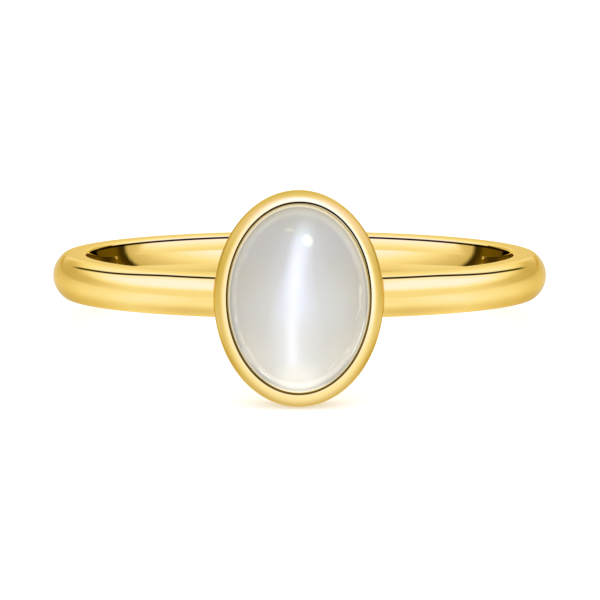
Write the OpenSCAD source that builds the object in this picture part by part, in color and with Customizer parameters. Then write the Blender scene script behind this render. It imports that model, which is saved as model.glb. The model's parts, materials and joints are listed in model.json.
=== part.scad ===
// Moonstone ring: a plain crowned band with an oval cabochon in a smooth bezel.
// Lengths are in millimetres. The ring lies on its side as it would by itself: on the
// knee under the bezel's wall and on the far lower edge of the band. Its stone looks
// towards -Y.

/* [Band] */
// Inside diameter of the band, which is the finger size
bore_d = 17.2; // [16.4:0.1:18]
// Width of the band along the finger
band_w = 1.8; // [1.6:0.05:2]
// Thickness of the band from the finger to the top of its crown
band_t = 1.5; // [1.4:0.05:1.6]
// Radius of the crowned outer face in the band's section
crown_r = 1.06; // [1.06:0.02:1.3]
// Rounding of the two edges beside the crown
outer_edge_r = 0.34; // [0.2:0.02:0.4]
// Rounding of the two edges beside the finger
inner_edge_r = 0.18; // [0.1:0.02:0.24]

/* [Stone] */
// Width of the stone, round the finger
stone_w = 6; // [5.6:0.1:6.4]
// Length of the stone, along the finger
stone_l = 8; // [7.6:0.1:8.4]
// Height of the dome above the girdle
dome_h = 2.05; // [1.8:0.05:2.3]
// How far the dome's widest level would lie below the girdle
dome_sink = 0.35; // [0.25:0.05:0.45]
// Height of the girdle above the flat base
girdle_h = 0.62; // [0.56:0.02:0.66]
// Chamfer between the girdle's side and the flat base
base_chamfer = 0.15; // [0.1:0.01:0.2]
// Gap between the stone and the metal round it
stone_gap = 0.04; // [0.03:0.01:0.06]

/* [Bezel] */
// Width of the rim, as seen from the front
rim_w = 0.53; // [0.45:0.01:0.65]
// How far the lip covers the stone's edge at each end of its width
lip_cover = 0.05; // [0.03:0.01:0.08]
// Width of the small bevel inside the lip
lip_bevel = 0.06; // [0.04:0.01:0.08]
// Width of the flat crest between the bevel and the rounded rim
rim_crest = 0.07; // [0.04:0.01:0.1]
// Height of the rim's rounding from its widest line to its crest
rim_round_h = 0.42; // [0.3:0.02:0.5]
// Height of the stone's seat above the finger
seat_rise = 0.6; // [0.5:0.05:0.7]
// Height of the rim's crest above the stone's seat
rim_rise = 1.4; // [1.35:0.05:1.5]
// Width of the ledge under the stone's edge
ledge_w = 0.7; // [0.5:0.05:0.9]
// Clearance between the finger and the bezel's hollowed back
back_relief = 0.3; // [0.2:0.05:0.35]
// How far the bezel's foot reaches in past the band's inner face
foot_depth = 0.4; // [0.3:0.05:0.5]
// Slope of the bezel's wall, in degrees
wall_slope = 6; // [5:0.5:8]
// Slope of the bezel's foot, in degrees
foot_slope = 30; // [25:1:40]

/* [Hidden] */

// Sides of the round forms, and steps in each kind of curve
round_sides = 144;
corner_steps = 6;
crown_steps = 14;
rim_steps = 16;
lip_steps = 4;

// Band: radii from the finger's axis, and half of the width
bore_r = bore_d / 2;
outer_r = bore_r + band_t;
half_w = band_w / 2;
crown_centre_r = outer_r - crown_r;
edge_z = half_w - outer_edge_r;
edge_centre_r = crown_centre_r + sqrt(pow(crown_r - outer_edge_r, 2) - pow(edge_z, 2));
edge_meets_crown = atan2(edge_z, edge_centre_r - crown_centre_r);

// Head: heights of its planes above the finger's axis
seat_up = bore_r + seat_rise;
base_up = seat_up + stone_gap;
girdle_up = base_up + girdle_h;
dome_centre_up = girdle_up - dome_sink;
crest_up = seat_up + rim_rise;
widest_up = crest_up - rim_round_h;
knee_up = seat_up;
foot_up = bore_r - foot_depth;

// Head: half widths of its ovals, and each oval's length over its width
stone_r = stone_w / 2;
stone_ratio = stone_l / stone_w;
dome_half_h = dome_h + dome_sink;
dome_r = stone_r / sqrt(1 - pow(dome_sink / dome_half_h, 2));
opening_r = stone_r - lip_cover;
rim_r = opening_r + rim_w;
rim_ratio = (opening_r * stone_ratio + rim_w) / rim_r;
knee_r = rim_r - (widest_up - knee_up) * tan(wall_slope);
foot_r = knee_r - (knee_up - foot_up) * tan(foot_slope);
window_r = stone_r - ledge_w;
lip_r = opening_r - lip_bevel;
lip_up = dome_level(lip_r - stone_gap);

// Rest: the plane that touches the bezel's knee and the far lower edge of the band
knee_out = knee_r * rim_ratio;
span = [edge_centre_r + knee_up, knee_out - edge_z];
tilt = atan2(span.y, span.x) - asin(outer_edge_r / norm(span));
lift = knee_out * cos(tilt) - knee_up * sin(tilt);
dome_lean = norm([dome_half_h * cos(tilt), dome_r * stone_ratio * sin(tilt)]);
front_reach = dome_centre_up * cos(tilt) + dome_lean;
back_reach = crown_centre_r * cos(tilt) + crown_r;
slide_y = (front_reach - back_reach) / 2;

// Height above the finger's axis at which the dome's half width is r
function dome_level(r) = dome_centre_up + dome_half_h * sqrt(1 - pow(r / dome_r, 2));

// Half width of the dome at a height above the finger's axis
function dome_reach(up) = dome_r * sqrt(1 - pow((up - dome_centre_up) / dome_half_h, 2));

// Points of an arc from one angle to another
function arc(centre, r, from, to, steps) = [
    for (i = [0 : steps])
        let (a = from + (to - from) * i / steps)
            centre + r * [cos(a), sin(a)]
];

// Section of the band: distance from the finger's axis, and place along it
function band_section() = concat(
    arc([bore_r + inner_edge_r, inner_edge_r - half_w], inner_edge_r, 180, 270, corner_steps),
    arc([edge_centre_r, -edge_z], outer_edge_r, -90, -edge_meets_crown, corner_steps),
    arc([crown_centre_r, 0], crown_r, -edge_meets_crown, edge_meets_crown, crown_steps),
    arc([edge_centre_r, edge_z], outer_edge_r, edge_meets_crown, 90, corner_steps),
    arc([bore_r + inner_edge_r, half_w - inner_edge_r], inner_edge_r, 90, 180, corner_steps)
);

// Outline of the bezel's outside: half width, and height above the finger's axis
function bezel_outline() = concat(
    [[0, foot_up], [foot_r, foot_up], [knee_r, knee_up]],
    [
        for (i = [0 : rim_steps])
            let (a = 90 * i / rim_steps, crest_r = opening_r + rim_crest)
                [crest_r + (rim_r - crest_r) * cos(a), widest_up + rim_round_h * sin(a)]
    ],
    [[0, crest_up]]
);

// Outline of the space for the stone, from its seat out through the lip
function cavity_outline() = concat(
    [[0, seat_up], [stone_r + stone_gap, seat_up]],
    [
        for (i = [0 : lip_steps])
            let (up = girdle_up + (lip_up - girdle_up) * i / lip_steps)
                [dome_reach(up) + stone_gap, up]
    ],
    [[opening_r, crest_up], [opening_r, crest_up + dome_h], [0, crest_up + dome_h]]
);

// Outline of the stone's blank: flat base, chamfer and straight side
function blank_outline() = [
    [0, base_up],
    [stone_r - base_chamfer, base_up],
    [stone_r, base_up + base_chamfer],
    [stone_r, girdle_up + dome_half_h],
    [0, girdle_up + dome_half_h]
];

// A turned form stretched into an oval that is longer along the finger
module oval_turned(outline, ratio) {
    scale([1, ratio, 1])
        rotate_extrude($fn = round_sides)
            polygon(outline);
}

// Turns a form that is built upwards so that it looks out from the finger
module on_head() {
    rotate([90, 0, 0])
        children();
}

// Lays the ring on its side, with its box centred over the origin
module at_rest() {
    translate([0, slide_y, lift])
        rotate([-tilt, 0, 0])
            children();
}

// The plain band, whole all round the finger
module band() {
    rotate_extrude($fn = round_sides)
        polygon(band_section());
}

// The bezel's wall and ledge, open at the back and hollowed to clear the finger
module bezel() {
    difference() {
        on_head()
            oval_turned(bezel_outline(), rim_ratio);
        on_head()
            scale([1, stone_ratio, 1])
                cylinder(r = window_r, h = crest_up, $fn = round_sides);
        cylinder(r = bore_r + back_relief, h = 2 * stone_l, center = true, $fn = round_sides);
    }
}

// Band and bezel, soldered into one piece of gold
module band_and_bezel() {
    color("goldenrod")
        at_rest()
            difference() {
                union() {
                    band();
                    bezel();
                }
                on_head()
                    oval_turned(cavity_outline(), stone_ratio);
            }
}

// The oval cabochon: a straight-sided blank with its front ground to a dome
module moonstone() {
    color("lavender")
        at_rest()
            on_head()
                intersection() {
                    oval_turned(blank_outline(), stone_ratio);
                    translate([0, 0, dome_centre_up])
                        scale([dome_r, dome_r * stone_ratio, dome_half_h])
                            sphere(r = 1, $fn = round_sides);
                }
}

band_and_bezel();
moonstone();
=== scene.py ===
"""The looks of a gold finger ring with an oval moonstone in a smooth bezel.

The ring lies on its side on a pale floor. Its shapes are worked out in millimetres in the
ring's own frame, where z is the finger's axis and -y points at the stone, and are then laid
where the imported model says. Heights on the head are measured from the finger's axis.
"""

import json
import math
from types import SimpleNamespace

import bmesh
import bpy
import numpy as np
from mathutils import Matrix, Vector
from mathutils.bvhtree import BVHTree
from mathutils.geometry import barycentric_transform


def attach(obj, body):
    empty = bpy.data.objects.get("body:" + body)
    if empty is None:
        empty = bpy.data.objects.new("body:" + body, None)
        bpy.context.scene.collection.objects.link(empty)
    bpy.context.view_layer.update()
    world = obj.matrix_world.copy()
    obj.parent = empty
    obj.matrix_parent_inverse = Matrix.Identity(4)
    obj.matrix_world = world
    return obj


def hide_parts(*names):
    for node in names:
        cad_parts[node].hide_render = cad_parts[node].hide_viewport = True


MM = 0.001
DEGREES = 180 / math.pi
HALF_TURN = 180
TINY = 1e-6

# Band, in millimetres
BAND_W = 1.8
BAND_T = 1.5
CROWN_R = 1.06
OUTER_EDGE_R = 0.34
INNER_EDGE_R = 0.16
COMFORT_R = 2.2

# Stone, in millimetres
STONE_W = 6.0
STONE_L = 8.0
DOME_H = 2.05
DOME_SINK = 0.35
GIRDLE_H = 0.62
BASE_CHAMFER = 0.15

# Bezel, in millimetres and degrees
OPENING_W = 5.9
RIM_W = 0.53
RIM_CREST = 0.05
RIM_ROUND_H = 0.42
LIP_EDGE_R = 0.03
LIP_STEP = 0.17
LIP_BEVEL = 0.055
SEAT_RISE = 0.6
STONE_GAP = 0.04
RIM_RISE = 1.4
LEDGE_W = 0.7
BACK_RELIEF = 0.3
WALL_SLOPE = 6.0
FOOT_SLOPE = 30.0
# How far the flat on the band's bridge lies below the stone's seat
BRIDGE_DROP = 0.03

# Steps round the band, across its bridge, and round the head's ovals
BAND_SIDES = 480
BRIDGE_SIDES = 40
OVAL_SIDES = 384
# Steps in the band's section
COMFORT_STEPS = 20
CROWN_STEPS = 28
EDGE_STEPS = 10
FLAT_STEPS = 6
# Steps in the sections of the head
WALL_STEPS = 10
RIM_STEPS = 30
CREST_STEPS = 2
LIP_EDGE_STEPS = 6
SIDE_STEPS = 3
SLOPE_STEPS = 4
BACK_STEPS = 6
DOME_STEPS = 90
# The small middles of the dome's top, in radians, and of the base, in millimetres, which one
# face each closes
DOME_TOP_GAP = 0.004
BASE_MIDDLE = 0.02

# Points nearer than this are one, in millimetres
MERGE = 1e-5
# A corner takes a surface's normal if the face lies this near to it and faces much the same way
NORMAL_REACH = 0.004
NORMAL_AGREE = 0.6
# How far inside its face a corner's normal is looked up, as a share of the way to the middle
CORNER_INSET = 0.02

# Camera: angles in degrees, sizes in millimetres, and its place and range in metres
CAMERA_ELEVATION = 15.79
CAMERA_AZIMUTH = 0.2
VIEW_WIDTH = 24.58
PHOTO_SIDE = 600
RING_CENTRE_PX = (299.64, 275.0)
CAMERA_DISTANCE = 0.1
CAMERA_RANGE = (0.001, 1)


def lerp(a, b, steps):
    """A column of steps + 1 even numbers from a to b."""
    return np.linspace(a, b, steps + 1)[:, None]


# The ring's own frame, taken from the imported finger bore
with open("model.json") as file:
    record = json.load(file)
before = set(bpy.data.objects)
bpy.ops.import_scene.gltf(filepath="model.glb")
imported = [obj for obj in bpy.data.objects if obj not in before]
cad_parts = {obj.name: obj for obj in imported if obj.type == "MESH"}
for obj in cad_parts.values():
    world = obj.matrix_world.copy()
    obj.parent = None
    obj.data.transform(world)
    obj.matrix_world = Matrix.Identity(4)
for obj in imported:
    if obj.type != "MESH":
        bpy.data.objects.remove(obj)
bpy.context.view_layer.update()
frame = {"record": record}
bore = frame["record"]["mounts"][0]
BORE_R = bore["dims"]["r_mm"]
axis_z = Vector(bore["axis"]).normalized()
axis_x = Vector((1, 0, 0))
axis_y = axis_z.cross(axis_x).normalized()
tilt = Matrix((axis_x, axis_y, axis_z)).transposed()
AT_REST = Matrix.Translation(Vector(bore["pos_m"])) @ tilt.to_4x4() @ Matrix.Scale(MM, 4)

OUTER_R = BORE_R + BAND_T
HALF_W = BAND_W / 2
CROWN_CENTRE_R = OUTER_R - CROWN_R
EDGE_Z = HALF_W - OUTER_EDGE_R
EDGE_CENTRE_R = CROWN_CENTRE_R + math.sqrt((CROWN_R - OUTER_EDGE_R) ** 2 - EDGE_Z**2)
EDGE_TURN = math.degrees(math.atan2(EDGE_Z, EDGE_CENTRE_R - CROWN_CENTRE_R))

SEAT_UP = BORE_R + SEAT_RISE
BASE_UP = SEAT_UP + STONE_GAP
GIRDLE_UP = BASE_UP + GIRDLE_H
DOME_CENTRE_UP = GIRDLE_UP - DOME_SINK
CREST_UP = SEAT_UP + RIM_RISE
WIDEST_UP = CREST_UP - RIM_ROUND_H
STONE_R = STONE_W / 2
STONE_RATIO = STONE_L / STONE_W
DOME_HALF_H = DOME_H + DOME_SINK
DOME_R = STONE_R / math.sqrt(1 - (DOME_SINK / DOME_HALF_H) ** 2)
OPENING_R = OPENING_W / 2
OPENING_HALF_L = OPENING_R * STONE_RATIO
LIP_R = OPENING_R - LIP_BEVEL
LIP_HALF_L = OPENING_HALF_L - LIP_BEVEL
LIP_GAP = STONE_GAP / 4
WINDOW_R = STONE_R - LEDGE_W
RELIEF_R = BORE_R + BACK_RELIEF


def dome_height(half_width):
    """Height at which the dome has this half width."""
    return DOME_CENTRE_UP + DOME_HALF_H * math.sqrt(1 - (half_width / DOME_R) ** 2)


def even_turns(sides):
    """Even angles all round, in radians."""
    return np.radians(np.arange(sides) * 360 / sides)


def unit(vectors):
    """Vectors of length 1."""
    return vectors / np.linalg.norm(vectors, axis=-1, keepdims=True)


def arc(centre, radius, start, end, steps):
    """Points along an arc with the normal at each, from one angle in degrees to another."""
    a = np.radians(lerp(start, end, steps))
    normal = np.concatenate([np.cos(a), np.sin(a)], 1)
    return np.concatenate([np.array(centre) + radius * normal, normal], 1)


def head_to_ring(points):
    """Turns head coordinates (across, along the finger, up) into the ring's frame."""
    return np.stack([points[..., 0], -points[..., 2], points[..., 1]], -1)


def band_section():
    """The band's closed section: distance from the axis, place along it, and the normal."""
    lean = math.degrees(math.asin((HALF_W - INNER_EDGE_R) / (COMFORT_R - INNER_EDGE_R)))
    reach = BORE_R + COMFORT_R - (COMFORT_R - INNER_EDGE_R) * math.cos(math.radians(lean))
    fillet_z = HALF_W - INNER_EDGE_R
    flat = lerp(reach, EDGE_CENTRE_R, FLAT_STEPS)[1:-1] * [1, 0, 0, 0]
    parts = [
        arc((BORE_R + COMFORT_R, 0), COMFORT_R, 180 + lean, 180 - lean, COMFORT_STEPS)[:-1],
        arc((reach, fillet_z), INNER_EDGE_R, 180 - lean, 90, EDGE_STEPS),
        flat + [0, HALF_W, 0, 1],
        arc((EDGE_CENTRE_R, EDGE_Z), OUTER_EDGE_R, 90, EDGE_TURN, EDGE_STEPS)[:-1],
        arc((CROWN_CENTRE_R, 0), CROWN_R, EDGE_TURN, -EDGE_TURN, CROWN_STEPS)[:-1],
        arc((EDGE_CENTRE_R, -EDGE_Z), OUTER_EDGE_R, -EDGE_TURN, -90, EDGE_STEPS),
        flat[::-1] + [0, -HALF_W, 0, -1],
        arc((reach, -fillet_z), INNER_EDGE_R, -90, -180 + lean, EDGE_STEPS)[:-1],
    ]
    return np.concatenate(parts)


def band_rings(turns, section):
    """Rings of the band's section at angles in radians from the head, with their normals."""
    t = turns[:, None]
    r, z, nr, nz = (section[None, :, k] for k in range(4))
    points = np.stack([r * np.sin(t), -r * np.cos(t), z + 0 * t], -1)
    normals = np.stack([nr * np.sin(t), -nr * np.cos(t), nz + 0 * t], -1)
    return points, normals


def oval_rows(outline):
    """Rows of ovals and their normals for an outline.

    Each outline row holds half width, half length and height, then how each of them changes
    along the outline. The outline runs up the outside and down the inside.
    """
    f = even_turns(OVAL_SIDES)[None, :]
    a, b, up, da, db, dup = (outline[:, k : k + 1] for k in range(6))
    points = np.stack([a * np.cos(f), b * np.sin(f), up + 0 * f], -1)
    rise = -a * db * np.sin(f) ** 2 - b * da * np.cos(f) ** 2
    normals = np.stack([b * np.cos(f) * dup, a * np.sin(f) * dup, rise], -1)
    return head_to_ring(points), head_to_ring(unit(normals))


def grow(d, up, dd, dup):
    """Outline rows that keep the same distance d from the opening all round."""
    d, up, dd, dup = np.broadcast_arrays(*map(np.asarray, (d, up, dd, dup)))
    return np.stack([OPENING_R + d, OPENING_HALF_L + d, up, dd, dd, dup], 1).astype(float)


def between(start, end, steps):
    """Outline rows on a straight slope from one oval to another.

    An oval is its half width, half length and height.
    """
    start, end = np.array(start, float), np.array(end, float)
    share = lerp(0, 1, steps)
    return np.concatenate([start + share * (end - start), 0 * share + (end - start)], 1)


def oval(half_width, up, ratio=STONE_RATIO):
    """An oval's half width, half length and height."""
    return (half_width, half_width * ratio, up)


def foot_rows(knee, way, steps):
    """Rows from the hollowed back up a slope to an oval.

    The slope's way is how its half width and its height change.
    """
    f = even_turns(OVAL_SIDES)
    across, ratio = np.cos(f), knee[1] / knee[0]
    # The slope meets the cylinder where across**2 * r**2 + up**2 = RELIEF_R**2
    qa = (way[0] * across) ** 2 + way[1] ** 2
    qb = 2 * (knee[0] * way[0] * across**2 + knee[2] * way[1])
    qc = (knee[0] * across) ** 2 + knee[2] ** 2 - RELIEF_R**2
    run = (-qb - np.sqrt(qb**2 - 4 * qa * qc)) / (2 * qa)
    share = np.linspace(1, 0, steps + 1)[:, None] * run[None, :]
    r, up = knee[0] + share * way[0], knee[2] + share * way[1]
    points = np.stack([r * np.cos(f), r * ratio * np.sin(f), up], -1)
    normal = (-ratio * np.cos(f) * way[1], -np.sin(f) * way[1], ratio * way[0])
    normals = np.stack([part + 0 * r for part in normal], -1)
    return points, unit(normals)


def bezel_patches():
    """The bezel's surfaces as grids of points and normals in the ring's frame."""
    slope, foot = math.radians(WALL_SLOPE), math.radians(FOOT_SLOPE)
    round_w = RIM_W - RIM_CREST
    # The rim's quarter ellipse runs on below its widest line until it meets the wall's slope
    first = -math.atan(math.tan(slope) * RIM_ROUND_H / round_w)
    a = lerp(first, math.pi / 2, RIM_STEPS)[:, 0]
    rim = grow(
        RIM_CREST + round_w * np.cos(a),
        WIDEST_UP + RIM_ROUND_H * np.sin(a),
        -round_w * np.sin(a),
        RIM_ROUND_H * np.cos(a),
    )
    wall_top = rim[0, :3]
    knee_r = wall_top[0] - (wall_top[2] - SEAT_UP) * math.tan(slope)
    knee = oval(knee_r, SEAT_UP, wall_top[1] / wall_top[0])
    # A small rounding and a step turn the crest into the lip's bevel, which meets the stone
    b = lerp(0, math.pi / 2, LIP_EDGE_STEPS)[:, 0]
    edge = grow(
        LIP_EDGE_R - LIP_EDGE_R * np.sin(b),
        CREST_UP - LIP_EDGE_R + LIP_EDGE_R * np.cos(b),
        -np.cos(b),
        -np.sin(b),
    )
    crest = grow(lerp(RIM_CREST, LIP_EDGE_R, CREST_STEPS)[:, 0], CREST_UP, -1, 0)
    step_end = (OPENING_R, OPENING_HALF_L, CREST_UP - LIP_STEP)
    lip_end = (LIP_R, LIP_HALF_L, dome_height(LIP_R) + LIP_GAP)
    pocket_r = STONE_R + STONE_GAP
    pocket_top, pocket_base = oval(pocket_r, GIRDLE_UP), oval(pocket_r, SEAT_UP)
    window = oval(WINDOW_R, SEAT_UP)
    foot_way = (-math.sin(foot), -math.cos(foot))
    foot_points, foot_normals = foot_rows(knee, foot_way, SLOPE_STEPS)
    window_points, window_normals = foot_rows(window, (0, -1), SLOPE_STEPS)
    window_points, window_normals = window_points[::-1], -window_normals[::-1]
    # The hollowed back runs between the two lower edges on a cylinder round the finger
    share = lerp(0, 1, BACK_STEPS)[:, :, None]
    back = window_points[-1] * (1 - share) + foot_points[0] * share
    back[..., 2] = np.sqrt(RELIEF_R**2 - back[..., 0] ** 2)
    back_normals = np.stack([-back[..., 0], 0 * back[..., 0], -back[..., 2]], -1)
    return [
        (head_to_ring(foot_points), head_to_ring(foot_normals)),
        oval_rows(between(knee, wall_top, WALL_STEPS)),
        oval_rows(np.concatenate([rim, crest[1:], edge[1:]])),
        oval_rows(between(edge[-1, :3], step_end, SIDE_STEPS)),
        oval_rows(between(step_end, lip_end, SLOPE_STEPS)),
        oval_rows(between(lip_end, pocket_top, SLOPE_STEPS)),
        oval_rows(between(pocket_top, pocket_base, SLOPE_STEPS)),
        oval_rows(between(pocket_base, window, SLOPE_STEPS)),
        (head_to_ring(window_points), head_to_ring(window_normals)),
        (head_to_ring(back), head_to_ring(unit(back_normals))),
    ]


def grid_faces(rows, columns, start=0, close_rows=False):
    """Quads of a grid that is closed along its rows, and round it too if asked."""
    faces = []
    for j in range(rows if close_rows else rows - 1):
        for i in range(columns):
            k = (i + 1) % columns
            low, high = start + j * columns, start + (j + 1) % rows * columns
            faces.append((low + i, low + k, high + k, high + i))
    return faces


def join_patches(patches, close_rows=False):
    """Points and faces of several grids, counted as one shape."""
    points, faces, count = [], [], 0
    for grid, _ in patches:
        rows, columns = grid.shape[:2]
        faces += grid_faces(rows, columns, count, close_rows)
        points.append(grid.reshape(-1, 3))
        count += rows * columns
    return np.concatenate(points), faces


def add_object(name, data):
    """A new object in the scene."""
    item = bpy.data.objects.new(name, data)
    bpy.context.scene.collection.objects.link(item)
    return item


def mesh_object(name, points, faces):
    """A closed mesh from points and faces, with doubled points merged and faces outward."""
    mesh = bpy.data.meshes.new(name)
    shape = bmesh.new()
    verts = [shape.verts.new(p) for p in points]
    for face in faces:
        shape.faces.new([verts[k] for k in face])
    bmesh.ops.remove_doubles(shape, verts=shape.verts, dist=MERGE)
    bmesh.ops.dissolve_degenerate(shape, edges=shape.edges, dist=MERGE)
    bmesh.ops.recalc_face_normals(shape, faces=shape.faces)
    shape.to_mesh(mesh)
    shape.free()
    return add_object(name, mesh)


class Surface:
    """Exact surfaces that lend their normals to a mesh cut from them."""

    def __init__(self, patches, close_rows=False):
        points, faces = join_patches(patches, close_rows)
        normals = np.concatenate([grid.reshape(-1, 3) for _, grid in patches])
        self.points = [Vector(p) for p in points]
        self.normals = [Vector(n) for n in normals]
        self.triangles = []
        for a, b, c, d in faces:
            self.triangles += [(a, b, c), (a, c, d)]
        self.tree = BVHTree.FromPolygons(self.points, self.triangles, all_triangles=True)

    def distance(self, point):
        """How far away the nearest surface is."""
        return self.tree.find_nearest(point)[3]

    def normal(self, point):
        """The exact normal at the nearest place."""
        place, _, index, _ = self.tree.find_nearest(point)
        corners = self.triangles[index]
        ways = Matrix.Identity(3)
        weights = barycentric_transform(place, *(self.points[k] for k in corners), *ways)
        return sum((self.normals[k] * w for k, w in zip(corners, weights)), Vector()).normalized()


def lend_normals(mesh, surfaces):
    """Gives each corner the exact normal of the surface that its face lies on."""
    corners = [Vector((0, 0, 0))] * len(mesh.loops)
    for face in mesh.polygons:
        surface = min(surfaces, key=lambda s: s.distance(face.center))
        near = surface.distance(face.center) <= NORMAL_REACH
        for k in face.loop_indices:
            corners[k] = face.normal.copy()
            if near:
                # Looked up a little inside the face, so that a corner doesn't borrow a neighbour's
                place = mesh.vertices[mesh.loops[k].vertex_index].co
                normal = surface.normal(place.lerp(face.center, CORNER_INSET))
                if normal.dot(face.normal) > NORMAL_AGREE:
                    corners[k] = normal
    mesh.normals_split_custom_set(corners)


def join_solids(piece, other):
    """Fuses another solid into a piece and deletes the other."""
    cut = piece.modifiers.new("fuse", "BOOLEAN")
    cut.operation, cut.solver, cut.object = "UNION", "MANIFOLD", other
    graph = bpy.context.evaluated_depsgraph_get()
    mesh = bpy.data.meshes.new_from_object(piece.evaluated_get(graph))
    piece.modifiers.clear()
    piece.data = mesh
    bpy.data.objects.remove(other)


def make_band():
    """The band, thinned to a bridge under the stone's seat, and its exact surface."""
    section = band_section()
    bridge_up = SEAT_UP - BRIDGE_DROP
    inside = math.degrees(math.atan((OPENING_R + RIM_W / 2) / SEAT_UP))
    full = np.radians(np.linspace(inside, 360 - inside, BAND_SIDES + 1))
    thin = np.radians(np.linspace(-inside, inside, BRIDGE_SIDES + 1))
    surface = band_rings(even_turns(BAND_SIDES), section)
    outer, _ = band_rings(full, section)
    bridge, _ = band_rings(thin, section)
    # Whatever stands above the flat moves towards the finger's axis until it lies on it
    over = np.maximum(-bridge[..., 1] / bridge_up, 1)[..., None]
    bridge = bridge / over * [1, 1, 0] + bridge * [0, 0, 1]
    rings = np.concatenate([outer, bridge])
    faces = grid_faces(len(rings), len(section), close_rows=True)
    return mesh_object("band", rings.reshape(-1, 3), faces), Surface([surface], close_rows=True)


def make_bezel():
    """The bezel as one closed solid, and its exact surfaces."""
    patches = bezel_patches()
    return mesh_object("bezel", *join_patches(patches)), Surface(patches)


def make_gold():
    """Band and bezel as one piece of gold, laid at rest."""
    band, band_surface = make_band()
    bezel, bezel_surface = make_bezel()
    join_solids(band, bezel)
    mesh = band.data
    mesh.shade_smooth()
    lend_normals(mesh, [band_surface, bezel_surface])
    keep_places(mesh)
    mesh.transform(AT_REST)
    band.name = mesh.name = "gold_ring"
    return band


def keep_places(mesh):
    """Keeps each point's place on the head in millimetres: across, along the finger, and up."""
    co = np.array([v.co for v in mesh.vertices])
    place = np.stack([co[:, 0], co[:, 2], -co[:, 1]], 1)
    layer = mesh.attributes.new("place", "FLOAT_VECTOR", "POINT")
    layer.data.foreach_set("vector", place.astype(np.float32).ravel())


def make_stone():
    """The cabochon: a flat base, a straight side and a domed front, laid at rest."""
    chamfer_up = BASE_UP + BASE_CHAMFER
    face = oval(STONE_R - BASE_CHAMFER, BASE_UP)
    a = lerp(math.asin(DOME_SINK / DOME_HALF_H), math.pi / 2 - DOME_TOP_GAP, DOME_STEPS)
    shares = [np.cos(a), STONE_RATIO * np.cos(a), np.sin(a)]
    turns = [-np.sin(a), -STONE_RATIO * np.sin(a), np.cos(a)]
    sizes = [DOME_R, DOME_R, DOME_HALF_H, DOME_R, DOME_R, DOME_HALF_H]
    dome = np.concatenate(shares + turns, 1) * sizes + [0, 0, DOME_CENTRE_UP, 0, 0, 0]
    patches = [
        oval_rows(between(oval(BASE_MIDDLE, BASE_UP), face, FLAT_STEPS)),
        oval_rows(between(face, oval(STONE_R, chamfer_up), SIDE_STEPS)),
        oval_rows(between(oval(STONE_R, chamfer_up), oval(STONE_R, GIRDLE_UP), SIDE_STEPS)),
        oval_rows(dome),
    ]
    points, faces = join_patches(patches)
    # The middles of the base and of the dome's top are closed by one face each
    faces.append(tuple(range(OVAL_SIDES)))
    faces.append(tuple(range(len(points) - OVAL_SIDES, len(points))))
    stone = mesh_object("cabochon", points, faces)
    stone.data.shade_smooth()
    lend_normals(stone.data, [Surface(patches)])
    keep_places(stone.data)
    stone.data.transform(AT_REST)
    return stone


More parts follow.
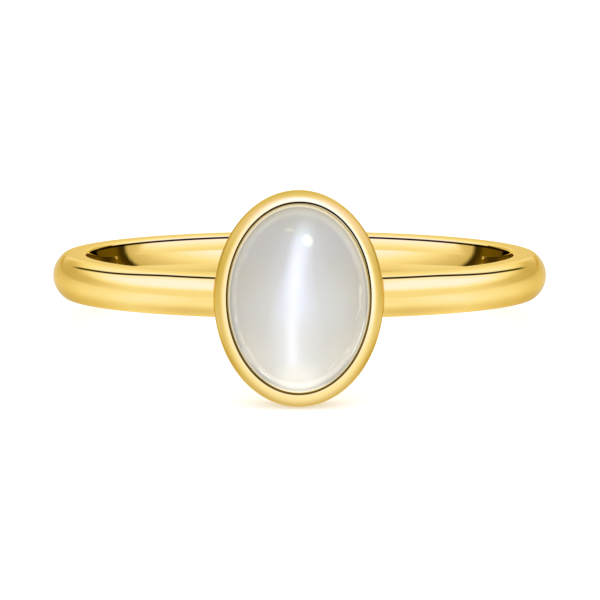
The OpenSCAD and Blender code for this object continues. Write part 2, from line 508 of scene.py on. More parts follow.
class Nodes:
    """Short ways to write a node tree."""

    def __init__(self, tree):
        self.tree = tree
        tree.nodes.clear()

    def add(self, kind, **settings):
        """A new node with these settings."""
        node = self.tree.nodes.new(kind)
        for name, value in settings.items():
            setattr(node, name, value)
        return node

    def plug(self, node, name, value):
        """Sets an input to a value, or links a socket to it."""
        socket = node.inputs[name]
        if isinstance(value, bpy.types.NodeSocket):
            self.tree.links.new(value, socket)
        else:
            socket.default_value = value

    def math(self, operation, *values):
        """A number worked out from others."""
        node = self.add("ShaderNodeMath", operation=operation)
        for k, value in enumerate(values):
            self.plug(node, k, value)
        return node.outputs[0]

    def product(self, *factors):
        """The product of two numbers or more."""
        total = factors[0]
        for factor in factors[1:]:
            total = self.math("MULTIPLY", total, factor)
        return total

    def vector(self, operation, a, b=(0, 0, 0), output=0):
        """A vector worked out from others, or a number with the output Value."""
        node = self.add("ShaderNodeVectorMath", operation=operation)
        self.plug(node, 0, a)
        self.plug(node, 1, b)
        return node.outputs[output]

    def length(self, vector):
        """A vector's length."""
        return self.vector("LENGTH", vector, output="Value")

    def split(self, vector):
        """A vector's three numbers."""
        node = self.add("ShaderNodeSeparateXYZ")
        self.plug(node, 0, vector)
        return tuple(node.outputs)

    def attribute(self, name, output):
        """What the mesh keeps at each point under a name."""
        return self.add("ShaderNodeAttribute", attribute_name=name).outputs[output]

    def smooth(self, value, low, high, to_low=0.0, to_high=1.0):
        """A smooth step from one value to another."""
        node = self.add("ShaderNodeMapRange", interpolation_type="SMOOTHSTEP")
        for k, part in enumerate((value, low, high, to_low, to_high)):
            self.plug(node, k, part)
        return node.outputs[0]

    def bell(self, value, middle, width):
        """A bell curve of height 1 about a middle."""
        away = self.math("DIVIDE", self.math("SUBTRACT", value, middle), width)
        return self.math("EXPONENT", self.math("MULTIPLY", self.math("POWER", away, 2), -1))

    def line(self, value, middle, half):
        """A line of height 1 about a middle, with soft sides."""
        away = self.math("ABSOLUTE", self.math("SUBTRACT", value, middle))
        return self.smooth(away, half, half * LINE_CORE)

    def blend(self, share, a, b):
        """A number between two others."""
        node = self.add("ShaderNodeMix", data_type="FLOAT")
        for k, value in ((0, share), (2, a), (3, b)):
            self.plug(node, k, value)
        return node.outputs[0]

    def mix(self, share, a, b, blend="MIX"):
        """A colour mixed from two others."""
        node = self.add("ShaderNodeMix", data_type="RGBA", blend_type=blend)
        self.plug(node, 0, share)
        for k, value in ((6, a), (7, b)):
            self.plug(node, k, value if isinstance(value, bpy.types.NodeSocket) else (*value, 1))
        return node.outputs[2]

    def ramp(self, value, top, stops):
        """Colours along a value from 0 to a top. Each stop is a place and a colour or a number."""
        node = self.add("ShaderNodeValToRGB")
        ramp = node.color_ramp
        while len(ramp.elements) < len(stops):
            ramp.elements.new(1)
        for element, (place, colour) in zip(ramp.elements, stops):
            element.position = place / top
            element.color = (*np.broadcast_to(colour, 3), 1)
        self.plug(node, 0, self.math("DIVIDE", value, top))
        return node.outputs[0]

    def filled(self, kind, inputs):
        """The first output of a new node with these inputs."""
        node = self.add(kind)
        for name, value in inputs.items():
            self.plug(node, name, value)
        return node.outputs[0]

    def noise(self, place, scale, detail, roughness=0.5):
        """Soft noise from 0 to 1."""
        inputs = {"Vector": place, "Scale": scale, "Detail": detail, "Roughness": roughness}
        return self.filled("ShaderNodeTexNoise", inputs)

    def light(self, kind, colour, strength):
        """A shader that gives off light: an emission or a background."""
        return self.filled(kind, {"Color": colour, "Strength": strength})

    def mix_shaders(self, share, a, b):
        """A shader between two others."""
        return self.filled("ShaderNodeMixShader", {0: share, 1: a, 2: b})

    def finish(self, shader, kind="ShaderNodeOutputMaterial"):
        """Links a shader to the tree's output."""
        self.plug(self.add(kind), "Surface", shader)


def new_material(name):
    """A new material and its node tree."""
    material = bpy.data.materials.new(name)
    material.use_nodes = True
    return material, Nodes(material.node_tree)


def oval_place(n, place, half_width, half_length):
    """Across and along as shares of an oval's half sizes, and how far out that is."""
    shares = n.vector("DIVIDE", place, (half_width, half_length, 1))
    shares = n.vector("MULTIPLY", shares, (1, 1, 0))
    x, y, _ = n.split(shares)
    return x, y, n.length(shares)


# Gold, as linear colours
GOLD = (0.975, 0.70, 0.235)
GOLD_WARM = (0.985, 0.715, 0.25)
# Painted shade at the band's ends and on the bezel, and a painted highlight at the lip
GOLD_ENDS_SHADE = (0.858, 0.616, 0.2068)
GOLD_SHADE = (0.72, 0.476, 0.106)
GOLD_LOW_SHADE = (0.62, 0.40, 0.085)
GOLD_SHOULDER_SHADE = (0.62, 0.41, 0.05)
GOLD_HIGHLIGHT = (1.0, 0.88, 0.44)
GOLD_BEVEL_SHADE = (0.38, 0.29, 0.065)
GOLD_GRAZED = (1.0, 0.85, 0.5)
# The colour of the painted dark reflections along the lip and the band's edges
DARK_REFLECTION = (0.008, 0.007, 0.003)

# Roughness of the band and the bezel, and what the brushing adds to it
BAND_ROUGH = 0.03
RIM_ROUGH = 0.2
BRUSH_ROUGH = 0.03
# The clouds in the tone and the brushing: scale and detail of their noise
CLOUDS = (0.9, 3)
BRUSHING = (9, 3)
BRUSHING_STRETCH = (1, 0.15, 1)
# How strongly the brushing shows as relief, and its height in metres
BRUSHING_RELIEF = (0.03, 0.00002)

# Where the head begins, going up, and where it ends, going out from the lip. In pairs like
# these a share grows from 0 at the first place to 1 at the second, in millimetres.
HEAD_UP = (SEAT_UP - 0.05, SEAT_UP + 0.1)
HEAD_OUT = (RIM_W + 0.04, RIM_W + 0.02)
# The band's inside, from the finger's axis, and its two ends, across, where its gold is painted
# darker as shade
BAND_INSIDE = (BORE_R + 0.27, BORE_R + 0.25)
SHADED_ENDS = (8.8, 9.7)
# Where the rim is painted in shade: its outer part, from the lip, which begins further out on the
# right by this much, and what lies under its widest line
RIM_OUTER = (0.1, 0.38)
RIM_OUTER_ASIDE = 0.045
RIM_BELOW = (WIDEST_UP + 0.05, WIDEST_UP - 0.1)
# The rim's lower end, where its painted shade is deeper, its upper half and its right half, as
# shares of the oval's half sizes
RIM_LOW = (-0.5, -0.95)
RIM_UPPER = (0, 0.2)
RIM_RIGHT = (-0.1, 0.1)
# The painted shade on the rim's upper shoulders: where it begins from the lip, and its strength
# left and right
SHOULDER_OUT = (0.14, 0.34)
SHOULDER_STRENGTH = (1.5, 0.5)
# The way across the head in which the lip's painted highlight is brightest, how far round from
# there, as cosines, and how far out it reaches, and where the painted shade on its bevel begins
HIGHLIGHT_WAY = (0.5, 0.866)
HIGHLIGHT_TURN = (-0.1, 1)
HIGHLIGHT_EDGE = (0.25, 0.1)
BEVEL_EDGE = (0.015, -0.015)

# Lines, such as the painted dark reflections, keep their full height over this share of their half
# width
LINE_CORE = 0.55
# The lip's painted dark reflection: its middle and half width, how much thicker it is at the upper
# right and the lower left, how much further out at the top and at the upper right, and where it
# fades out
LIP_LINE_MIDDLE = 0.01
LIP_LINE_HALF = 0.04
LIP_LINE_TWIST = 0.1
LIP_LINE_RISE = 0.03
LIP_LINE_ASIDE = 0.03
LIP_LINE_UP = (CREST_UP - LIP_STEP - 0.16, CREST_UP - LIP_STEP - 0.12)
# The middles and half widths of the painted dark reflections along the band's edges
INNER_LINE = (HALF_W - 0.143, 0.05)
OUTER_LINE = (HALF_W - 0.165, 0.047)
# The inner lines fade out towards the hole's two ends, and the outer one at an angle round
# from the stone, in degrees
INNER_LINE_ENDS = (8.62, 8.45)
OUTER_LINE_ENDS = (72, 65)
# The outer line sinks by this much between these distances across
OUTER_LINE_DROP = 0.08
OUTER_LINE_DROPS = (5.2, 8.0)


def gold_places(n):
    """Where a point of the gold lies, as node sockets."""
    at = SimpleNamespace(place=n.attribute("place", "Vector"))
    at.across, at.along, at.up = n.split(at.place)
    at.around = n.length(n.vector("MULTIPLY", at.place, (1, 0, 1)))
    at.aside = n.math("ABSOLUTE", at.across)
    at.x, at.y, at.reach = oval_place(n, at.place, OPENING_R, OPENING_HALF_L)
    at.twist = n.math("DIVIDE", n.product(at.x, at.y), n.product(at.reach, at.reach))
    at.from_lip = n.product(n.math("SUBTRACT", at.reach, 1), OPENING_R)
    at.on_head = n.product(n.smooth(at.up, *HEAD_UP), n.smooth(at.from_lip, *HEAD_OUT))
    at.inside = n.smooth(at.around, *BAND_INSIDE)
    at.right = n.smooth(at.x, *RIM_RIGHT)
    return at


def rim_painted_light(n, at, tone):
    """The bezel's painted shade outside, low down, on its shoulders and on the lip's bevel, and
    its painted highlight at the lip's upper right.
    """
    # Painted shade on the rim's outer part and below its widest line, deeper at its lower end
    rightward = n.math("MAXIMUM", n.math("DIVIDE", at.x, at.reach), 0)
    outer = n.math("MULTIPLY_ADD", rightward, -RIM_OUTER_ASIDE, at.from_lip)
    outer = n.math("MAXIMUM", n.smooth(outer, *RIM_OUTER), n.smooth(at.up, *RIM_BELOW))
    low = n.smooth(n.math("DIVIDE", at.y, at.reach), *RIM_LOW)
    tone = n.mix(n.product(outer, at.on_head), tone, n.mix(low, GOLD_SHADE, GOLD_LOW_SHADE))
    # Painted shade on the rim's upper shoulders
    shoulder = n.product(
        n.math("ABSOLUTE", at.twist),
        n.smooth(at.x, *RIM_RIGHT, *SHOULDER_STRENGTH),
        n.smooth(at.y, *RIM_UPPER),
        n.smooth(at.from_lip, *SHOULDER_OUT),
        at.on_head,
    )
    tone = n.mix(shoulder, tone, GOLD_SHOULDER_SHADE)
    # A painted highlight at the lip's upper right
    pale = n.math("ADD", n.product(at.x, HIGHLIGHT_WAY[0]), n.product(at.y, HIGHLIGHT_WAY[1]))
    pale = n.smooth(n.math("DIVIDE", pale, at.reach), *HIGHLIGHT_TURN)
    pale = n.product(pale, n.smooth(at.from_lip, *HIGHLIGHT_EDGE), at.on_head)
    tone = n.mix(pale, tone, GOLD_HIGHLIGHT)
    # Painted shade on the lip's bevel
    return n.mix(n.product(n.smooth(at.from_lip, *BEVEL_EDGE), at.on_head), tone, GOLD_BEVEL_SHADE)


def lip_dark_reflection(n, at):
    """The painted dark reflection at the lip, a line thicker at the upper right and the lower
    left.
    """
    thick = n.math("MULTIPLY_ADD", at.twist, 2 * LIP_LINE_TWIST, 1)
    rise = n.math("DIVIDE", at.y, at.reach)
    middle = n.math("MULTIPLY_ADD", rise, LIP_LINE_RISE, LIP_LINE_MIDDLE)
    upper_right = n.product(n.math("MAXIMUM", at.twist, 0), at.right)
    middle = n.math("MULTIPLY_ADD", upper_right, 2 * LIP_LINE_ASIDE, middle)
    off_line = n.math("DIVIDE", n.math("SUBTRACT", at.from_lip, middle), thick)
    return n.product(n.line(off_line, 0, LIP_LINE_HALF), n.smooth(at.up, *LIP_LINE_UP))


def inner_dark_reflections(n, at):
    """Painted dark reflections along the band's two inner edges, all round but for the hole's
    ends.
    """
    line = n.line(n.math("ABSOLUTE", at.along), *INNER_LINE)
    return n.product(line, at.inside, n.smooth(at.aside, *INNER_LINE_ENDS))


def outer_dark_reflection(n, at):
    """The painted dark reflection along the band's upper outer edge, on both sides of the stone.
    """
    ahead = n.math("DIVIDE", at.up, n.math("MAXIMUM", at.around, 1))
    ends = [math.cos(math.radians(turn)) for turn in OUTER_LINE_ENDS]
    off_head, outside = (n.math("SUBTRACT", 1, share) for share in (at.on_head, at.inside))
    shown = n.product(n.smooth(ahead, *ends), off_head, outside)
    drop = n.smooth(at.aside, *OUTER_LINE_DROPS, 0, OUTER_LINE_DROP)
    return n.product(n.line(n.math("ADD", at.along, drop), *OUTER_LINE), shown)


def gold_material():
    """Yellow gold: a polished band and a satin bezel, with painted shade, a painted highlight, and
    painted dark reflections along the lip and the edges.
    """
    material, n = new_material("gold")
    at = gold_places(n)
    tone = n.mix(n.noise(at.place, *CLOUDS), GOLD, GOLD_WARM)
    # The band's two ends are painted darker, as shade
    tone = n.mix(n.smooth(at.aside, *SHADED_ENDS), tone, GOLD_ENDS_SHADE)
    # The bezel's painted shade and painted highlight
    tone = rim_painted_light(n, at, tone)
    # Painted dark reflections along the lip and the band's edges
    lines = n.math("MAXIMUM", inner_dark_reflections(n, at), outer_dark_reflection(n, at))
    tone = n.mix(n.math("MAXIMUM", lip_dark_reflection(n, at), lines), tone, DARK_REFLECTION)
    brushed = n.noise(n.vector("MULTIPLY", at.place, BRUSHING_STRETCH), *BRUSHING)
    rough = n.blend(at.on_head, BAND_ROUGH, RIM_ROUGH)
    strength, height = BRUSHING_RELIEF
    relief = {"Strength": strength, "Distance": height, "Height": brushed}
    inputs = {
        "Base Color": tone,
        "Metallic": 1.0,
        "Roughness": n.math("MULTIPLY_ADD", brushed, BRUSH_ROUGH, rough),
        "Specular Tint": (*GOLD_GRAZED, 1),
        "Normal": n.filled("ShaderNodeBump", relief),
    }
    n.finish(n.filled("ShaderNodeBsdfPrincipled", inputs))
    return material


# The moonstone's tones, as linear colours
# Painted light at the stone's edge, a pale tone that its veils and fine arcs also take
STONE_RIM_LIGHT = (0.9, 0.87, 0.78)
# Painted shade towards the edge, which is also the tone of the darker wisps
STONE_SHADE_AND_WISPS = (0.47, 0.435, 0.37)
STONE_BODY = (0.51, 0.50, 0.47)
# Painted shade on the left and at the top, and painted light low down
STONE_LEFT_SHADE = (0.475, 0.445, 0.405)
STONE_TOP_SHADE = (0.435, 0.42, 0.385)
STONE_LOW_LIGHT = (0.63, 0.60, 0.53)
STONE_HALO = (0.70, 0.74, 0.83)
STONE_HALO_LOW = (0.69, 0.69, 0.69)
STONE_WHITE = (0.83, 0.845, 0.87)
STONE_GLOW = (0.85, 0.825, 0.755)
STONE_GLOSS = (1, 0.97, 0.6)
# Light that leaves the milky stone again near its thin edge, and at the lip
EDGE_GLOW = (0.23, 0.225, 0.2)
RIM_GLOW = (0.46, 0.44, 0.35)
BLACK = (0, 0, 0)

STONE_ROUGH = 0.09
STONE_IOR = 1.52
# How milky the stone is, and how deep light goes into it in metres
MILKY = 0.2
MILKY_DEPTH = 0.0005

# Noise in the stone: scale and detail, and roughness where it isn't the usual one
DRIFT = (0.55, 2)
WISPS = (1.3, 5, 0.6)
WISPS_STRETCH = (1.4, 0.5, 1)
WISPS_STRENGTH = 0.2

# Where the body's painted shade and painted light grow. Pairs and fours like these hold the place
# where a tone begins, the place where it's full, and its share at both if that isn't 0 and 1.
# Places are shares of the way out, or millimetres across or along.
BODY_OUT = (0.98, 0.45)
LEFT_ACROSS = (0, -2.2, 0, 0.8)
TOP_ALONG = (0, 2.4)
LOW_ALONG = (-0.5, -3.0)
LOW_OUT = (0.4, 0.8)

# The sheen's middle across the stone, as a curve along it, and how far it wanders
SHEEN = (-0.213, 0.07, 0.022)
SHEEN_DRIFT = 0.12
# Its halo: half width along the stone and more on the right, a fainter one twice as wide, and
# where it fades out and turns from bluish to grey
HALO_WIDTH = (2.8, -2.0, 0.42, 1.1)
HALO_RIGHT = (0, 0.3, 1, 1.2)
HALO_FAINT = 0.4
HALO_OUT = (1.05, 0.6)
HALO_ALONG = (4.2, 2.4)
HALO_GREY = (0.2, -1.8)
# Its core: half width, strength, and where it fades out
CORE_WIDTH = 0.27
CORE_STRENGTH = 0.93
CORE_OUT = (0.95, 0.6)
CORE_ALONG = (3.4, 0.9)

# The glow low in the stone: its middle, its half sizes, and how it fades outwards from there
GLOW_MIDDLE = (0, -3.4, 0)
GLOW_SIZE = (1.05, 0.85)
GLOW_FADE = (1.4, 0.2)

# Fine arcs along the stone's edge: how much they wander, how close they lie, and how strong
ARC_WANDER = (0.5, 3)
ARC_BEND = 0.25
ARC_TURNS = 46
ARC_STRENGTH = 0.4
# Where they show: on the crests of a wave, near the edge, among the wisps, and below the top
ARC_CREST = (0.6, 1.0)
ARC_OUT = (0.76, 0.86)
ARC_WISPS = (0.45, 0.62)
ARC_ALONG = (2.2, 1.2)

# Bright veils of painted light along the stone's edge: share of the way out, half width, and where
# round the stone they lie, with half of their span, in degrees, and strength
VEILS = (
    (0.928, 0.012, -140, 9, 0.7),
    (0.9, 0.01, -121, 10, 0.6),
    (0.925, 0.014, -27, 22, 1.0),
    (0.885, 0.009, 118, 16, 0.1),
)
# A veil is strongest over this share of its span, and gives off this share of the lip's light
VEIL_CORE = 0.3
VEIL_GLOW = 0.7

# Where the stone's edge shines, by the share of the way out to the lip, and where it shines more
# or less along and across
RIM_OUT = (0.967, 0.983)
SHINE_OUT = (0.86, 0.96)
SHINE_UPPER = (2.2, 3.4, 1.0, 0.75)
SHINE_LOWER = (-2.6, -3.7, 1.0, 2.0)
SHINE_ACROSS = (-2, 2, 1.0, 1.25)
SHINE_END = (-3.3, -3.8, 1.0, 1.6)


def stone_places(n):
    """Where a point of the stone lies, and its noise, as node sockets."""
    at = SimpleNamespace(place=n.attribute("place", "Vector"))
    at.across, at.along, _ = n.split(at.place)
    at.x, at.y, at.reach = oval_place(n, at.place, STONE_R, STONE_L / 2)
    at.to_lip = oval_place(n, at.place, LIP_R, LIP_HALF_L)[2]
    at.drift = n.noise(at.place, *DRIFT)
    at.wisps = n.noise(n.vector("MULTIPLY", at.place, WISPS_STRETCH), *WISPS)
    return at


def stone_body(n, at):
    """The body's tone, with painted shade darker to the edge, the left and the top, and painted
    light paler low down.
    """
    tone = n.mix(n.smooth(at.reach, *BODY_OUT), STONE_SHADE_AND_WISPS, STONE_BODY)
    tone = n.mix(n.smooth(at.across, *LEFT_ACROSS), tone, STONE_LEFT_SHADE)
    tone = n.mix(n.smooth(at.along, *TOP_ALONG), tone, STONE_TOP_SHADE)
    low = n.product(n.smooth(at.along, *LOW_ALONG), n.smooth(at.reach, *LOW_OUT))
    return n.mix(low, tone, STONE_LOW_LIGHT)


def stone_sheen(n, at, tone):
    """The sheen, which leans and bends a little: a soft halo, wider below, round a core."""
    curve = n.math("MULTIPLY_ADD", at.along, SHEEN[2], SHEEN[1])
    curve = n.math("MULTIPLY_ADD", at.along, curve, SHEEN[0])
    lean = n.math("SUBTRACT", at.across, curve)
    lean = n.math("MULTIPLY_ADD", n.math("SUBTRACT", at.drift, 0.5), SHEEN_DRIFT, lean)
    width = n.product(n.smooth(at.along, *HALO_WIDTH), n.smooth(lean, *HALO_RIGHT))
    spread = n.math("DIVIDE", lean, width)
    halo = n.math("MAXIMUM", n.bell(spread, 0, 1), n.product(n.bell(spread, 0, 2), HALO_FAINT))
    halo = n.product(halo, n.smooth(at.reach, *HALO_OUT), n.smooth(at.along, *HALO_ALONG))
    sheen = n.mix(n.smooth(at.along, *HALO_GREY), STONE_HALO, STONE_HALO_LOW)
    core = n.product(n.bell(lean, 0, CORE_WIDTH), n.smooth(at.reach, *CORE_OUT))
    core = n.product(core, n.smooth(at.along, *CORE_ALONG), CORE_STRENGTH)
    return n.mix(core, n.mix(halo, tone, sheen), STONE_WHITE)


def stone_glow(n, at, tone):
    """Light that gathers low in the stone."""
    away = oval_place(n, n.vector("SUBTRACT", at.place, GLOW_MIDDLE), *GLOW_SIZE)[2]
    return n.mix(n.smooth(away, *GLOW_FADE), tone, STONE_GLOW)


def stone_arcs(n, at):
    """How strongly fine arcs that follow the stone's edge show."""
    wander = n.math("MULTIPLY_ADD", n.noise(at.place, *ARC_WANDER), ARC_BEND, at.reach)
    arcs = n.smooth(n.math("SINE", n.product(wander, ARC_TURNS)), *ARC_CREST)
    arcs = n.product(arcs, n.smooth(at.reach, *ARC_OUT), n.smooth(at.wisps, *ARC_WISPS))
    return n.product(arcs, n.smooth(at.along, *ARC_ALONG), ARC_STRENGTH)


def stone_veils(n, at):
    """How strongly the veils of painted light show."""
    turn = n.product(n.math("ARCTAN2", at.y, at.x), DEGREES)
    shown = 0.0
    for out, half, middle, span, strength in VEILS:
        away = n.math("ABSOLUTE", n.math("SUBTRACT", turn, middle))
        veil = n.product(n.line(at.reach, out, half), n.smooth(away, span, VEIL_CORE * span))
        shown = n.math("MAXIMUM", shown, n.product(veil, strength))
    return shown


def stone_shine(n, at, rim, veil):
    """The light that leaves the stone near its edge."""
    shine = n.product(
        n.smooth(at.to_lip, *SHINE_OUT),
        n.smooth(at.along, *SHINE_UPPER),
        n.smooth(at.along, *SHINE_LOWER),
        n.smooth(at.across, *SHINE_ACROSS),
    )
    glow = n.mix(shine, BLACK, EDGE_GLOW)
    glow = n.mix(n.math("MAXIMUM", rim, n.product(veil, VEIL_GLOW)), glow, RIM_GLOW)
    return n.mix(1.0, glow, n.smooth(at.along, *SHINE_END), "MULTIPLY")


def stone_material():
    """Moonstone: milky, with a painted bluish white sheen along its length, painted shade, and
    painted light near its edge and low down.
    """
    material, n = new_material("moonstone")
    at = stone_places(n)
    tone = stone_glow(n, at, stone_sheen(n, at, stone_body(n, at)))
    tone = n.mix(n.product(at.wisps, WISPS_STRENGTH), tone, STONE_SHADE_AND_WISPS)
    rim, veil = n.smooth(at.to_lip, *RIM_OUT), stone_veils(n, at)
    # Fine arcs, veils of painted light and the painted light at the edge, all in one pale tone
    for share in (stone_arcs(n, at), veil, rim):
        tone = n.mix(share, tone, STONE_RIM_LIGHT)
    inputs = {
        "Base Color": tone,
        "Roughness": STONE_ROUGH,
        "IOR": STONE_IOR,
        "Specular Tint": (*STONE_GLOSS, 1),
        "Emission Color": stone_shine(n, at, rim, veil),
        "Emission Strength": 1.0,
        "Subsurface Weight": MILKY,
        "Subsurface Scale": MILKY_DEPTH,
    }
    n.finish(n.filled("ShaderNodeBsdfPrincipled", inputs))
    return material


# The studio's light by its level: colours from the dimmest corner to the softbox
LIGHT_TOP = 2.7
LIGHT = (
    (0.0, (0.0, 0.0, 0.0)),
    (0.34, (0.62, 0.57, 0.34)),
    (0.5, (0.74, 0.69, 0.5)),
    (0.75, (0.9, 0.88, 0.75)),
    (1.0, (1.0, 1.03, 1.0)),
    (1.3, (1.05, 1.12, 1.3)),
    (1.7, (1.15, 1.19, 1.7)),
    (2.2, (1.2, 1.24, 2.2)),
    (2.7, (1.25, 1.3, 2.7)),
)
# Levels by angle from the middle of the softbox behind, in degrees
SOFTBOX_AXIS = (0, 0.7665, 0.6423)
SOFTBOX = ((0, 0.95), (20, 1.0), (31, 1.7), (35, 1.6), (43, 1.5), (52, 1.9), (60, 2.6), (110, 2.7))
# The dimmer strip overhead: its half width on x, its heights on z, and its level
OVERHEAD = (0.45, 0.74, 0.9, 1.1)
# Levels just above the floor, by angle round from the front, in degrees
HORIZON = (
    (0, 2.1), (25, 1.8), (42, 0.95), (84, 0.95), (96, 0.82),
    (108, 0.64), (122, 0.45), (145, 0.42), (160, 0.52), (172, 1.0),
)
# The softbox gives way to the horizon between these heights, which rise towards the front
TENT_RISE = (0.12, 0.48)
TENT_LEAN = 0.31
# Plain light for everything but reflections
PLAIN_LIGHT = 1.1
WHITE = (1, 1, 1, 1)
# Levels of the floor near the ring in reflections, by angle round from the front, in degrees
NEAR_FLOOR = (
    (0, 1.5), (25, 1.2), (40, 1.15), (62, 1.65), (80, 1.15),
    (96, 0.95), (118, 0.78), (145, 0.6), (160, 0.75), (172, 1.0),
)
# Further away its levels are those of the horizon, from one distance to the other, in metres
FAR_FLOOR = (0.02, 0.08)
# A ray's count of mirrorings, between the first and the second
SECOND_HAND = (1.4, 1.6)
# The dim ring under the band: its middle and half width in metres, where it begins, by angle
# round from the front, and its strength
UNDER_BAND = (0.0103, 0.003)
UNDER_BAND_TURN = (14, 32)
UNDER_BAND_DIM = 0.5
# In the finger hole: its edge in metres, and the floor's level at first and at second hand
IN_HOLE = (0.0088, 0.0075)
IN_HOLE_LEVELS = (1.0, 0.25)
# The far floor behind the ring is warmer: from this angle and this distance, by this colour
BEHIND = (148, 160)
BEHIND_FROM = (0.015, 0.03)
BEHIND_WARM = (0.9, 0.8, 0.43)
# The paper that the camera sees: half its side in metres, its greys and their noise, its glow
FLOOR_HALF = 0.6
PAPER = ((0.88, 0.88, 0.88), (0.90, 0.90, 0.90))
PAPER_NOISE = (60, 2)
PAPER_GLOW = 0.35


def turn_of(n, cosine):
    """The angle that has this cosine, in degrees."""
    return n.product(n.math("ARCCOSINE", cosine), DEGREES)


def from_front(n, x, y):
    """Angle round from the front, in degrees, alike on the left and the right."""
    level = n.math("SQRT", n.math("ADD", n.product(x, x), n.product(y, y)))
    return turn_of(n, n.math("DIVIDE", n.product(y, -1), n.math("MAXIMUM", level, TINY)))


def light_colour(n, level):
    """The colour of a level of light, for a shader with the strength LIGHT_TOP."""
    stops = [(place, tuple(c / LIGHT_TOP for c in colour)) for place, colour in LIGHT]
    return n.ramp(level, LIGHT_TOP, stops)


def level_ramp(n, value, top, stops):
    """A level of light along a value from 0 to a top."""
    share = n.ramp(value, top, [(place, level / LIGHT_TOP) for place, level in stops])
    return n.product(share, LIGHT_TOP)


def make_world():
    """A white tent with a round softbox behind the ring, and plain light on the floor."""
    world = bpy.data.worlds.new("studio")
    world.use_nodes = True
    bpy.context.scene.world = world
    n = Nodes(world.node_tree)
    way = n.add("ShaderNodeTexCoord").outputs["Generated"]
    x, y, z = n.split(way)
    along = n.vector("DOT_PRODUCT", way, SOFTBOX_AXIS, output="Value")
    upper = level_ramp(n, turn_of(n, along), HALF_TURN, SOFTBOX)
    half, low, high, level = OVERHEAD
    upper = n.blend(n.product(n.bell(x, 0, half), n.smooth(z, low, high)), upper, level)
    lower = level_ramp(n, from_front(n, x, y), HALF_TURN, HORIZON)
    forward = n.math("MAXIMUM", n.product(y, -1), 0)
    height = n.math("MULTIPLY_ADD", forward, -TENT_LEAN, z)
    level = n.blend(n.smooth(height, *TENT_RISE), lower, upper)
    plain = n.light("ShaderNodeBackground", WHITE, PLAIN_LIGHT)
    tent = n.light("ShaderNodeBackground", light_colour(n, level), LIGHT_TOP)
    mirrored = n.add("ShaderNodeLightPath").outputs["Is Glossy Ray"]
    n.finish(n.mix_shaders(mirrored, plain, tent), "ShaderNodeOutputWorld")


def floor_material():
    """White paper on a light table, which dims in reflections under the band and in the hole."""
    material, n = new_material("pale_floor")
    place = n.add("ShaderNodeTexCoord").outputs["Object"]
    x, y, _ = n.split(place)
    tone = n.mix(n.noise(place, *PAPER_NOISE), *PAPER)
    paper = n.filled("ShaderNodeBsdfDiffuse", {"Color": tone})
    glow = n.light("ShaderNodeEmission", WHITE, PAPER_GLOW)
    seen = n.filled("ShaderNodeAddShader", {0: paper, 1: glow})
    turn, away = from_front(n, x, y), n.length(place)
    near = level_ramp(n, turn, HALF_TURN, NEAR_FLOOR)
    far = level_ramp(n, turn, HALF_TURN, HORIZON)
    level = n.blend(n.smooth(away, *FAR_FLOOR), near, far)
    rays = n.add("ShaderNodeLightPath").outputs
    in_hole = n.smooth(rays["Glossy Depth"], *SECOND_HAND, *IN_HOLE_LEVELS)
    level = n.blend(n.smooth(away, *IN_HOLE), level, in_hole)
    under = n.product(n.bell(away, *UNDER_BAND), n.smooth(turn, *UNDER_BAND_TURN))
    level = n.product(level, n.math("MULTIPLY_ADD", under, -UNDER_BAND_DIM, 1))
    colour = light_colour(n, level)
    warm = n.product(n.smooth(turn, *BEHIND), n.smooth(away, *BEHIND_FROM))
    colour = n.mix(warm, colour, n.mix(1.0, colour, BEHIND_WARM, "MULTIPLY"))
    mirrored = n.light("ShaderNodeEmission", colour, LIGHT_TOP)
    n.finish(n.mix_shaders(rays["Is Glossy Ray"], seen, mirrored))
    return material


def make_floor():
    """The floor that the ring lies on, as a thin sheet."""
    ways = ((-1, -1), (1, -1), (1, 1), (-1, 1))
    mesh = bpy.data.meshes.new("floor")
    mesh.from_pydata([(x * FLOOR_HALF, y * FLOOR_HALF, 0) for x, y in ways], [], [(0, 1, 2, 3)])
    sheet = add_object("floor", mesh)
    mesh.materials.append(floor_material())


# The card in the finger hole: its corners on the ring's own y and z, in millimetres
CARD_END = 24.0
CARD = (
    (4.0, -1.8), (8.6, -1.8), (8.6, 0.95), (CARD_END, 0.95), (CARD_END, 2.2),
    (14.0, 3.0), (12.0, 6.0), (10.0, 3.6), (4.0, 3.6),
)
# Its levels along y, from bright in front to dark behind, lean back with height by this share
CARD_LEAN = 0.286
CARD_LEVELS = ((4.2, 2.7), (4.6, 2.4), (5.1, 1.35), (5.6, 0.9), (6.2, 0.6), (7.0, 0.42), (7.35, 0))
# The card is dimmer below: heights in millimetres, and shares of its level
CARD_DIM = (-1.5, 1.5, 0.86, 1.0)
# Gold nearer to the card than this, in metres, doesn't mirror its part above these heights at
# first hand
CARD_NEAREST = (0.0066, 0.0072)
CARD_UPPER = (0.95, 0.85)
# Its brown, which stands in for shade at the hole's ends, at first and at second hand, and how
# much of it shows along y
CARD_BROWN = (0.16, 0.11, 0.006)
CARD_BROWN_TWICE = (0.15, 0.14, 0.027)
CARD_BROWN_SHARES = ((7.1, 0), (7.4, 0.25), (7.8, 0.3), (8.4, 0.9), (13.0, 0.7), (14.6, 0))


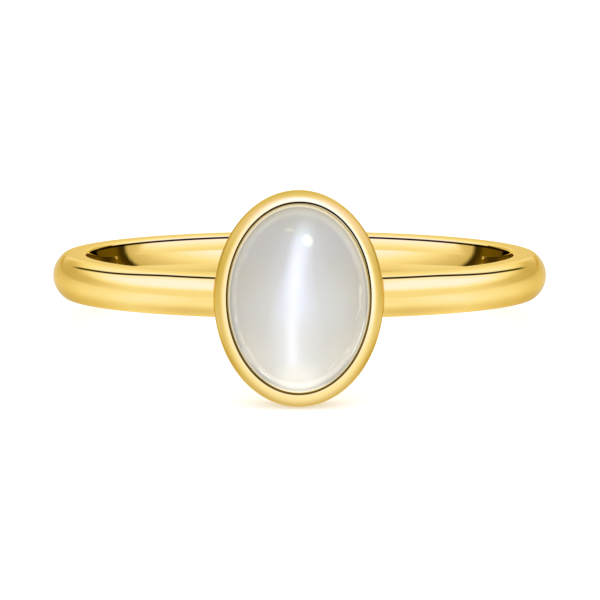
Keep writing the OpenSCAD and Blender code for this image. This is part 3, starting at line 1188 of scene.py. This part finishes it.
def card_material():
    """The card's light, seen in the gold beside the hole's two ends."""
    material, n = new_material("hole_card")
    y, z = n.attribute("y", "Fac"), n.attribute("z", "Fac")
    y = n.math("MULTIPLY_ADD", z, -CARD_LEAN, y)
    level = n.product(level_ramp(n, y, CARD_END, CARD_LEVELS), n.smooth(z, *CARD_DIM))
    rays = n.add("ShaderNodeLightPath").outputs
    twice = n.smooth(rays["Glossy Depth"], *SECOND_HAND)
    once, again = (tuple(c / LIGHT_TOP for c in tone) for tone in (CARD_BROWN, CARD_BROWN_TWICE))
    brown = n.ramp(y, CARD_END, CARD_BROWN_SHARES)
    brown = n.mix(brown, BLACK, n.mix(twice, once, again))
    colour = n.mix(1.0, light_colour(n, level), brown, "ADD")
    shown = n.smooth(rays["Ray Length"], *CARD_NEAREST)
    for share in (n.smooth(z, *CARD_UPPER), twice):
        shown = n.math("MAXIMUM", shown, share)
    clear = n.add("ShaderNodeBsdfTransparent").outputs[0]
    n.finish(n.mix_shaders(shown, clear, n.light("ShaderNodeEmission", colour, LIGHT_TOP)))
    return material


def make_card():
    """A card on edge across the middle of the finger hole, seen in reflections alone; its dark
    part stands in for the shade at the hole's two ends.
    """
    mesh = bpy.data.meshes.new("hole_card")
    points = [AT_REST @ Vector((0, y, z)) for y, z in CARD]
    mesh.from_pydata(points, [], [tuple(range(len(points)))])
    for name, values in zip("yz", zip(*CARD)):
        mesh.attributes.new(name, "FLOAT", "POINT").data.foreach_set("value", values)
    card = add_object("hole_card", mesh)
    mesh.materials.append(card_material())
    card.visible_camera = False
    card.visible_diffuse = False
    card.visible_transmission = False
    card.visible_shadow = False


# Small oval lamps that only the stone mirrors: direction, half angles in degrees, and radiance,
# at a distance in metres
LAMP_DISTANCE = 0.1
LAMPS = (
    ((0.19, -0.594, 0.779), (6.5, 6.0), 7.0),
    ((-0.207, -0.41, 0.888), (6.0, 2.4), 3.0),
)


def make_lamps(stone):
    """Oval lamps overhead for the stone's highlights."""
    lit = bpy.data.collections.new("lit_by_lamps")
    lit.objects.link(stone)
    middle = Vector(bore["pos_m"])
    for k, (way, halves, radiance) in enumerate(LAMPS):
        way = Vector(way).normalized()
        light = bpy.data.lights.new(f"lamp_{k}", "AREA")
        light.shape = "ELLIPSE"
        light.size, light.size_y = (2 * LAMP_DISTANCE * math.tan(math.radians(h)) for h in halves)
        light.energy = radiance * math.pi**2 * light.size * light.size_y / 4
        light.diffuse_factor = 0
        lamp = add_object(f"lamp_{k}", light)
        lamp.location = middle + way * LAMP_DISTANCE
        lamp.rotation_mode = "QUATERNION"
        lamp.rotation_quaternion = way.to_track_quat("Z", "Y")
        lamp.light_linking.receiver_collection = lit


def make_camera():
    """Parallel rays, with the finger's axis where the photo has it."""
    a, e = math.radians(CAMERA_AZIMUTH), math.radians(CAMERA_ELEVATION)
    back = Vector((math.sin(a) * math.cos(e), -math.cos(a) * math.cos(e), math.sin(e)))
    data = bpy.data.cameras.new("camera")
    data.type = "ORTHO"
    data.ortho_scale = VIEW_WIDTH * MM
    data.clip_start, data.clip_end = CAMERA_RANGE
    camera = add_object("camera", data)
    camera.rotation_mode = "QUATERNION"
    camera.rotation_quaternion = (-back).to_track_quat("-Z", "Y")
    pixel = VIEW_WIDTH * MM / PHOTO_SIDE
    right = Vector((math.cos(a), math.sin(a), 0))
    over = back.cross(right)
    aside = (RING_CENTRE_PX[0] - PHOTO_SIDE / 2) * pixel
    below = (PHOTO_SIDE / 2 - RING_CENTRE_PX[1]) * pixel
    middle = Vector(bore["pos_m"]) + back * CAMERA_DISTANCE
    camera.location = middle - right * aside - over * below
    bpy.context.scene.camera = camera


make_camera()
make_world()
make_floor()
make_card()
bpy.context.scene.view_settings.view_transform = "Standard"

gold = make_gold()
gold.data.materials.clear()
gold.data.materials.append(gold_material())
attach(gold, "root")
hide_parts("band_and_bezel")

stone = make_stone()
stone.data.materials.append(stone_material())
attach(stone, "root")
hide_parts("moonstone")
make_lamps(stone)
